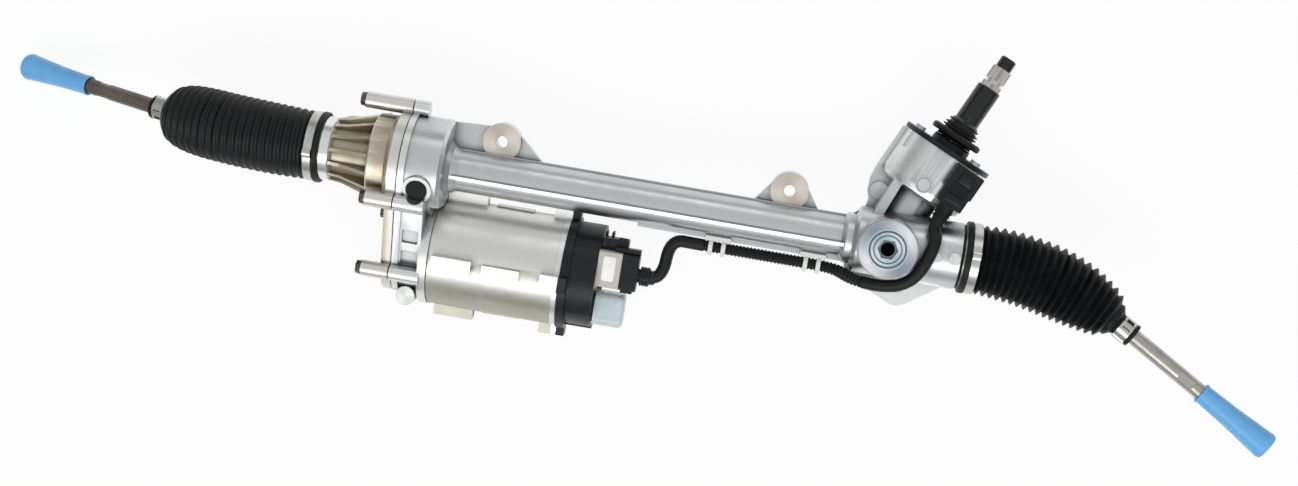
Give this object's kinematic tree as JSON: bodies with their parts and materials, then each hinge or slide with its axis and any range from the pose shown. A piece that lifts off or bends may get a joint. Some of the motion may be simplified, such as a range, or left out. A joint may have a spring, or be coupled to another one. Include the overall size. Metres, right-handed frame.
{
  "type": "electric power steering rack",
  "caption": "Rack and pinion steering gear with a parallel electric motor, belt case, bellows boots and capped tie rods.",
  "frame": {"origin": "on the subframe seat face, midway between the two upper mounting bolts", "axes": "+X along the rack bar towards the pinion side, +Y towards the steering column side, +Z away from the subframe"},
  "size_m": [1.231, 0.332, 0.1423],
  "materials": {
    "cast_aluminium": "satin die casting",
    "champagne_casting": "satin, gold-tinted passivated casting",
    "zinc_plate": "zinc plated",
    "bright_steel": "ground",
    "grey_steel": "drawn bar",
    "dark_steel": "phosphated",
    "laminated_steel": "stacked laminations",
    "black_plastic": "moulded",
    "bearing_plastic": "moulded",
    "cream_plastic": "moulded",
    "white_plastic": "moulded",
    "blue_cap": "soft translucent",
    "pale_blue_cap": "clear blue",
    "black_rubber": "matt",
    "belt_rubber": "matt",
    "green_board": "solder mask",
    "cable_jacket": "extruded"
  },
  "bodies": {
    "housing": {"rack_housing": "cast_aluminium", "gear_cover": "champagne_casting", "cover_gasket": "black_rubber", "cover_bolts": "zinc_plate", "access_plug": "black_rubber", "motor_flange": "cast_aluminium", "motor_can": "cast_aluminium", "motor_bolts": "zinc_plate", "motor_stator": "laminated_steel", "motor_bearings": "bright_steel", "ball_nut_bearing": "bright_steel", "bearing_retainer": "bright_steel", "drive_belt": "belt_rubber", "ecu_plate": "cast_aluminium", "ecu_board": "green_board", "ecu_cover": "black_plastic", "ecu_connector_block": "cream_plastic", "ecu_plug": "black_plastic", "power_connector": "black_plastic", "pinion_upper_bearing": "bright_steel", "pinion_lower_bearing": "bright_steel", "pinion_cap": "zinc_plate", "sensor_cover": "cast_aluminium", "input_shaft_seal": "black_rubber", "sensor_cover_screws": "zinc_plate", "yoke": "bearing_plastic", "yoke_spring": "bright_steel", "yoke_plug": "zinc_plate", "mount_bushes": "bright_steel", "bump_stops": "black_rubber", "sensor_connector": "black_plastic", "sensor_cable": "cable_jacket", "cable_clips": "white_plastic", "left_boot": "black_rubber", "right_boot": "black_rubber", "boot_clamps": "zinc_plate"},
    "motor_rotor": {"motor_shaft": "bright_steel", "rotor": "laminated_steel", "motor_pulley": "bright_steel"},
    "ball_nut": {"ball_nut": "bright_steel", "large_pulley": "black_plastic"},
    "rack": {"rack_bar": "bright_steel", "left_joint_socket": "grey_steel", "right_joint_socket": "grey_steel"},
    "pinion": {"pinion": "bright_steel", "torsion_bar": "dark_steel"},
    "input_shaft": {"input_shaft": "bright_steel", "shaft_sleeve": "black_plastic", "dust_shield": "black_rubber", "shaft_tip_cap": "cream_plastic"},
    "power_cap": {"power_connector_cap": "pale_blue_cap"},
    "left_ball_seat": {"left_ball_seat": "bearing_plastic"},
    "left_tie_rod": {"left_tie_rod": "dark_steel", "left_rod_clamp": "zinc_plate"},
    "left_rod_cap": {"left_rod_cap": "blue_cap"},
    "right_ball_seat": {"right_ball_seat": "bearing_plastic"},
    "right_tie_rod": {"right_tie_rod": "grey_steel", "right_rod_clamp": "zinc_plate"},
    "right_rod_cap": {"right_rod_cap": "blue_cap"}
  },
  "joints": [
    {"name": "motor_spin", "type": "hinge", "parent": "housing", "child": "motor_rotor", "pos_m": [-0.15, -0.115, -0.015], "axis": [1, 0, 0], "range_deg": [-9257.15, 9257.15], "deforming": ["drive_belt"]},
    {"name": "ball_nut_spin", "type": "hinge", "parent": "housing", "child": "ball_nut", "pos_m": [-0.22, -0.033, 0.015], "axis": [1, 0, 0], "range_deg": [-3702.88, 3702.88]},
    {"name": "rack_slide", "type": "slide", "parent": "housing", "child": "rack", "axis": [1, 0, 0], "range_m": [-0.07202, 0.07202], "deforming": ["left_boot", "right_boot"]},
    {"name": "pinion_spin", "type": "hinge", "parent": "housing", "child": "pinion", "pos_m": [0.2315, -0.033, -0.0017], "axis": [0.4067, 0.9135, 0], "range_deg": [-523.52, 523.52]},
    {"name": "torsion_twist", "type": "hinge", "parent": "pinion", "child": "input_shaft", "pos_m": [0.2315, -0.033, -0.0017], "axis": [0.4067, 0.9135, 0], "range_deg": [-4.5, 4.5], "stiffness_Nm_per_rad": 120},
    {"name": "left_steer_swing", "type": "hinge", "parent": "rack", "child": "left_ball_seat", "pos_m": [-0.391, -0.033, 0.015], "axis": [0, 0, 1], "range_deg": [-25.7, 36.3]},
    {"name": "left_bump_swing", "type": "hinge", "parent": "left_ball_seat", "child": "left_tie_rod", "pos_m": [-0.391, -0.033, 0.015], "axis": [0.0924, 0.9957, 0], "range_deg": [-6.7, 41.3]},
    {"name": "left_cap_slide", "type": "slide", "parent": "left_tie_rod", "child": "left_rod_cap", "axis": [-0.9507, 0.0882, -0.2974], "range_m": [0, 0.06]},
    {"name": "right_steer_swing", "type": "hinge", "parent": "rack", "child": "right_ball_seat", "pos_m": [0.391, -0.033, 0.015], "axis": [0, 0, 1], "range_deg": [-1.1, 60.9]},
    {"name": "right_bump_swing", "type": "hinge", "parent": "right_ball_seat", "child": "right_tie_rod", "pos_m": [0.391, -0.033, 0.015], "axis": [-0.4985, -0.8669, 0], "range_deg": [-33, 15]},
    {"name": "right_cap_slide", "type": "slide", "parent": "right_tie_rod", "child": "right_rod_cap", "axis": [0.8562, -0.4924, 0.1564], "range_m": [0, 0.06]},
    {"name": "power_cap_slide", "type": "slide", "parent": "housing", "child": "power_cap", "axis": [1, 0, 0], "range_m": [0, 0.03]}
  ],
  "couplings": [
    {"joint": "ball_nut_spin", "follows": "motor_spin", "ratio": 0.4},
    {"joint": "rack_slide", "follows": "motor_spin", "m_per_rad": -0.00044563},
    {"joint": "pinion_spin", "follows": "motor_spin", "ratio": -0.056543}
  ]
}
